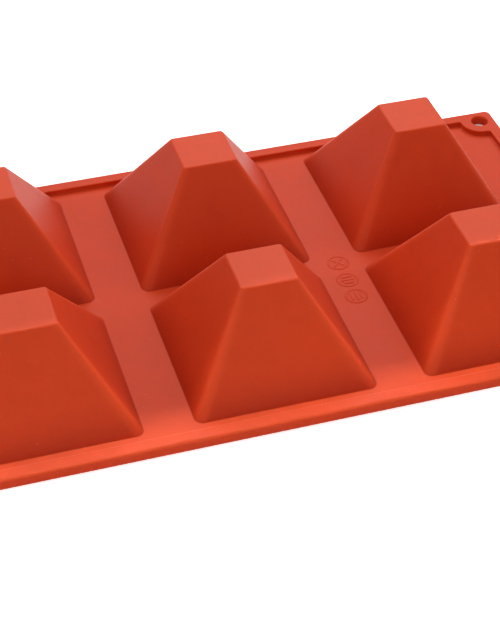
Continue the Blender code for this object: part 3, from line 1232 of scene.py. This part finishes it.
@dataclass
class RaisedMarks:
    """Three small rings raised on the web between the middle and right columns, with plain bars in them."""

    finish: SiliconeFinish
    ring_radius: float = 0.0042
    line_width: float = 0.00100
    line_height: float = 0.00044
    bar_tip: float = 0.3
    bar_taper: float = 5.0
    bar_spacing: float = 0.46
    places: tuple[float, ...] = (0.0005, -0.0113, -0.0222)
    offset: float = 0.0005
    slot: str = "sheet_silicone"

    def points(self) -> bpy.types.Mesh:
        """Lays out the rings and bars.

        Returns:
            A mesh of single points, with each point's part, turn and length as attributes.
        """
        low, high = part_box("right_flex_web")
        middle = (low.x + high.x) / 2 + self.offset
        reach, gap = self.ring_radius, self.bar_spacing
        bars = (
            ((0.0, 0.0, 45.0, 1.45), (0.0, 0.0, -45.0, 1.45)),
            ((0.0, gap, 0.0, 1.0), (0.0, 0.0, 0.0, 1.3), (0.0, -gap, 0.0, 1.0)),
            ((-gap, 0.0, 90.0, 1.0), (0.0, 0.0, 90.0, 1.3), (gap, 0.0, 90.0, 1.0)),
        )
        rows = []
        for place, strokes in zip(self.places, bars):
            rows.append(((middle, place), MarkPart.RING, 0.0, 1.0))
            for x, y, turn, length in strokes:
                spot = (middle + x * reach, place + y * reach)
                rows.append((spot, MarkPart.BAR, math.radians(turn), length * reach))
        mesh = bpy.data.meshes.new("mark_points")
        mesh.from_pydata([(*spot, high.z) for spot, *_ in rows], [], [])
        columns = {
            "part": [float(row[1].value) for row in rows],
            "turn": [row[2] for row in rows],
            "length": [row[3] for row in rows],
        }
        for name, values in columns.items():
            mesh.attributes.new(name, "FLOAT", "POINT").data.foreach_set("value", values)
        return mesh

    def tree(self) -> tuple[bpy.types.NodeTree, dict[str, str]]:
        """Builds the geometry tree that raises a ring or a bar at each point.

        Returns:
            The tree and the identifiers of its inputs by name.
        """
        tree = bpy.data.node_groups.new("Raised Marks", "GeometryNodeTree")
        sockets = {
            "Points": "Geometry",
            "Ring Radius": "Float",
            "Line Width": "Float",
            "Line Height": "Float",
            "Silicone": "Material",
        }
        names = add_sockets(tree, "INPUT", sockets)
        add_sockets(tree, "OUTPUT", {"Marks": "Geometry"})
        wiring = Wiring(tree)
        given = wiring.node("NodeGroupInput").outputs
        bead = wiring.node("GeometryNodeCurvePrimitiveCircle", {"Resolution": 12, "Radius": 0.5})
        size = wiring.node(
            "ShaderNodeCombineXYZ", {"X": given["Line Width"], "Y": given["Line Height"], "Z": 1.0}
        )
        bead = wiring.node("GeometryNodeTransform", {"Geometry": bead.outputs[0], "Scale": size.outputs[0]})
        ring = wiring.node(
            "GeometryNodeCurvePrimitiveCircle", {"Resolution": 56, "Radius": given["Ring Radius"]}
        )
        line = wiring.node("GeometryNodeCurvePrimitiveLine", {"Start": (-0.5, 0, 0), "End": (0.5, 0, 0)})
        line = wiring.node("GeometryNodeResampleCurve", {"Curve": line.outputs[0], "Count": 17})
        along = wiring.node("GeometryNodeSplineParameter").outputs["Factor"]
        from_end = wiring.sum("MINIMUM", along, wiring.sum("SUBTRACT", 1.0, along))
        taper = wiring.sum("MULTIPLY", from_end, self.bar_taper)
        taper = wiring.sum("ADD", taper, self.bar_tip, clamp=True)
        line = wiring.node("GeometryNodeSetCurveRadius", {"Curve": line.outputs[0], "Radius": taper})
        shapes = []
        for curve in (ring, line):
            shapes.append(
                wiring.node(
                    "GeometryNodeCurveToMesh",
                    {"Curve": curve.outputs[0], "Profile Curve": bead.outputs[0], "Fill Caps": True},
                )
            )
        part = wiring.node("GeometryNodeInputNamedAttribute", {"Name": "part"}, data_type="FLOAT")
        turn = wiring.node("GeometryNodeInputNamedAttribute", {"Name": "turn"}, data_type="FLOAT")
        length = wiring.node("GeometryNodeInputNamedAttribute", {"Name": "length"}, data_type="FLOAT")
        is_bar = wiring.sum("GREATER_THAN", wiring.out(part, "Attribute"), 0.5)
        is_ring = wiring.sum("LESS_THAN", wiring.out(part, "Attribute"), 0.5)
        spin = wiring.node("ShaderNodeCombineXYZ", {"Z": wiring.out(turn, "Attribute")})
        stretch = wiring.node(
            "ShaderNodeCombineXYZ", {"X": wiring.out(length, "Attribute"), "Y": 1.0, "Z": 1.0}
        )
        rings = wiring.node(
            "GeometryNodeInstanceOnPoints",
            {"Points": given["Points"], "Selection": is_ring, "Instance": shapes[0].outputs[0]},
        )
        bars = wiring.node(
            "GeometryNodeInstanceOnPoints",
            {
                "Points": given["Points"],
                "Selection": is_bar,
                "Instance": shapes[1].outputs[0],
                "Rotation": spin.outputs[0],
                "Scale": stretch.outputs[0],
            },
        )
        joined = wiring.node("GeometryNodeJoinGeometry")
        wiring.join(rings.outputs[0], joined.inputs[0])
        wiring.join(bars.outputs[0], joined.inputs[0])
        real = wiring.node("GeometryNodeRealizeInstances", {"Geometry": joined.outputs[0]})
        smooth = wiring.node("GeometryNodeSetShadeSmooth", {"Geometry": real.outputs[0]})
        dressed = wiring.node(
            "GeometryNodeSetMaterial", {"Geometry": smooth.outputs[0], "Material": given["Silicone"]}
        )
        wiring.node("NodeGroupOutput", {"Marks": dressed.outputs[0]})
        return tree, names

    def build(self, sheet: Sheet) -> bpy.types.Object:
        """Builds the marks.

        Args:
            sheet: The sheet that they stand on; not used.

        Returns:
            The marks.
        """
        tree, names = self.tree()
        values = {
            names["Ring Radius"]: self.ring_radius,
            names["Line Width"]: self.line_width,
            names["Line Height"]: self.line_height,
            names["Silicone"]: self.finish.material(),
        }
        marks = run_tree(new_object("raised_marks", self.points()), tree, values, "raised_marks")
        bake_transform(marks)
        LOG.info("raised_marks: %d faces", len(marks.data.polygons))
        return marks


# ---------------------------------------------------------------------------------------------------------
# The studio
# ---------------------------------------------------------------------------------------------------------


@dataclass(frozen=True)
class SoftLamp:
    """A large soft lamp that faces the mould, by its direction in degrees and its power in watts."""

    name: str
    azimuth: float
    elevation: float
    power: float
    size: float = 1.2
    distance: float = 1.6

    def build(self) -> None:
        """Builds the lamp."""
        light = bpy.data.lights.new(self.name, "AREA")
        light.shape = "SQUARE"
        light.size = self.size
        light.energy = self.power
        around, up = math.radians(self.azimuth), math.radians(self.elevation)
        towards = Vector((math.cos(up) * math.cos(around), math.cos(up) * math.sin(around), math.sin(up)))
        lamp = bpy.data.objects.new(self.name, light)
        lamp.location = towards * self.distance
        lamp.rotation_euler = towards.to_track_quat("Z", "Y").to_euler()
        lamp.visible_camera = False
        bpy.context.scene.collection.objects.link(lamp)


@dataclass(frozen=True)
class StripLamp:
    """A long narrow lamp that shines down past the cups on a line along X, brightest on the line."""

    name: str
    power: float
    colour: Colour = (0.75, 1.0, 1.0)
    length: float = 0.50
    width: float = 0.004
    distance: float = 0.30
    elevation: float = 65.0
    spread: float = 6.8

    def build(self, place: float) -> None:
        """Builds the lamp.

        Args:
            place: Where its line lies along Y.
        """
        light = bpy.data.lights.new(self.name, "AREA")
        light.shape = "RECTANGLE"
        light.size, light.size_y = self.length, self.width
        light.spread = math.radians(self.spread)
        light.energy = self.power
        light.color = self.colour
        up = math.radians(self.elevation)
        towards = Vector((0.0, math.cos(up), math.sin(up)))
        lamp = bpy.data.objects.new(self.name, light)
        lamp.location = Vector((0.0, place, 0.0)) + towards * self.distance
        lamp.rotation_euler = towards.to_track_quat("Z", "Y").to_euler()
        lamp.visible_camera = False
        bpy.context.scene.collection.objects.link(lamp)


@dataclass
class Studio:
    """A plain pale floor with a painted shadow under the hanging hole, soft light from all round, and the
    camera.
    """

    hole_centre: tuple[float, float]
    hole_radius: float
    floor_size: float = 12.0
    floor_drop: float = 0.0002
    floor_colour: Colour = (0.90, 0.90, 0.90)
    floor_glow: float = 0.62
    floor_fill: float = 0.14
    # Painted shadow on the floor under the hanging hole: its glow falls to this share there and comes back
    # within this many hole radii.
    painted_shadow_share: float = 0.35
    painted_shadow_reach: float = 3.0
    surround: float = 0.30
    lamps: tuple[SoftLamp, ...] = (
        SoftLamp("back lamp", 90, 45, 3.3, 0.66, 0.88),
        SoftLamp("back right lamp", 45, 45, 3.2, 0.66, 0.88),
        SoftLamp("front left lamp", 225, 45, 1.0, 0.66, 0.88),
        SoftLamp("low right lamp", 0, 18, 5.2),
        SoftLamp("low left lamp", 180, 18, 4.8),
        SoftLamp("low front lamp", 270, 18, 1.7, 0.66, 0.88),
    )
    strip: StripLamp = StripLamp("front strip lamp", 0.031)
    strip_inset: float = 0.004
    camera_place: tuple[float, float, float] = (-0.15336, -0.52590, 0.44236)
    camera_turn: tuple[float, float, float] = (0.8773, -0.0038, -0.2946)
    camera_lens: float = 98.9
    camera_sensor: float = 36.0

    def build_floor(self) -> bpy.types.Object:
        """Builds the floor.

        Returns:
            The floor.
        """
        bm = bmesh.new()
        bmesh.ops.create_grid(bm, x_segments=8, y_segments=8, size=self.floor_size / 2)
        bmesh.ops.translate(bm, vec=(0, 0, -self.floor_drop), verts=bm.verts)
        mesh = bpy.data.meshes.new("studio_floor")
        bm.to_mesh(mesh)
        bm.free()
        floor = new_object("studio_floor", mesh)
        material = bpy.data.materials.new("pale floor")
        material.use_nodes = True
        material.node_tree.nodes.clear()
        wiring = Wiring(material.node_tree)
        place = wiring.node("ShaderNodeTexCoord")
        noise = wiring.node(
            "ShaderNodeTexNoise", {"Vector": place.outputs["Object"], "Scale": 3.0, "Detail": 2.0}
        )
        pale = tuple(0.985 * c for c in self.floor_colour)
        colour = SiliconeSkin.mix(wiring, noise.outputs[0], (*self.floor_colour, 1.0), (*pale, 1.0))
        # Painted shadow: the floor glows less round the spot under the hanging hole.
        away = wiring.node("ShaderNodeVectorMath", operation="DISTANCE")
        wiring.join(place.outputs["Object"], away.inputs[0])
        wiring.join((*self.hole_centre, -self.floor_drop), away.inputs[1])
        shadow_radii = self.hole_radius, self.painted_shadow_reach * self.hole_radius
        outside_painted_shadow = wiring.node(
            "ShaderNodeMapRange",
            {"Value": away.outputs["Value"], "From Min": shadow_radii[0], "From Max": shadow_radii[1]},
            interpolation_type="SMOOTHSTEP",
        ).outputs[0]
        path = wiring.node("ShaderNodeLightPath")
        extra = wiring.sum("MULTIPLY", path.outputs["Is Camera Ray"], self.floor_glow - self.floor_fill)
        share = wiring.sum("MULTIPLY", outside_painted_shadow, 1.0 - self.painted_shadow_share)
        share = wiring.sum("ADD", share, self.painted_shadow_share)
        glow = wiring.sum("MULTIPLY", wiring.sum("ADD", extra, self.floor_fill), share)
        shader = wiring.node(
            "ShaderNodeBsdfPrincipled",
            {
                "Base Color": colour,
                "Roughness": 0.9,
                "Specular IOR Level": 0.2,
                "Emission Color": glow,
                "Emission Strength": 1.0,
            },
        )
        wiring.node("ShaderNodeOutputMaterial", {"Surface": shader.outputs[0]})
        mesh.materials.append(material)
        return floor

    def build_lights(self) -> None:
        """Builds the lamps and an even surround, which the camera sees as plain white."""
        world = bpy.data.worlds.new("studio surround")
        world.use_nodes = True
        world.node_tree.nodes.clear()
        wiring = Wiring(world.node_tree)
        path = wiring.node("ShaderNodeLightPath")
        seen = wiring.sum("MULTIPLY", path.outputs["Is Camera Ray"], 1.0 - self.surround)
        strength = wiring.sum("ADD", seen, self.surround)
        glow = wiring.node("ShaderNodeBackground", {"Color": (1.0, 1.0, 1.0, 1.0), "Strength": strength})
        wiring.node("ShaderNodeOutputWorld", {"Surface": glow.outputs[0]})
        bpy.context.scene.world = world
        for lamp in self.lamps:
            lamp.build()
        self.strip.build(CAD_BOX[0].y + self.strip_inset)

    def build_camera(self) -> None:
        """Builds the camera."""
        lens = bpy.data.cameras.new("camera")
        lens.lens = self.camera_lens
        lens.sensor_width = self.camera_sensor
        lens.clip_start, lens.clip_end = 0.01, 50.0
        camera = bpy.data.objects.new("camera", lens)
        camera.location = self.camera_place
        camera.rotation_euler = self.camera_turn
        bpy.context.scene.collection.objects.link(camera)
        bpy.context.scene.camera = camera

    def build(self) -> None:
        """Builds the whole studio."""
        bpy.context.scene.view_settings.view_transform = "Standard"
        self.build_floor()
        self.build_lights()
        self.build_camera()
        LOG.info("studio: floor, surround, %d lamps and camera", len(self.lamps) + 1)


def main() -> None:
    """Builds the mould and the studio, in order."""
    logging.basicConfig(level=logging.INFO, format="%(name)s: %(message)s")
    sheet = Sheet(SiliconeFinish("sheet silicone"))
    sheet.build()
    Cups(SiliconeFinish("cup silicone")).build()
    RaisedMarks(SiliconeFinish("mark silicone")).build(sheet)
    Studio(tuple(sheet.hole_centre), sheet.hole_radius).build()


if __name__ == "__main__":
    main()
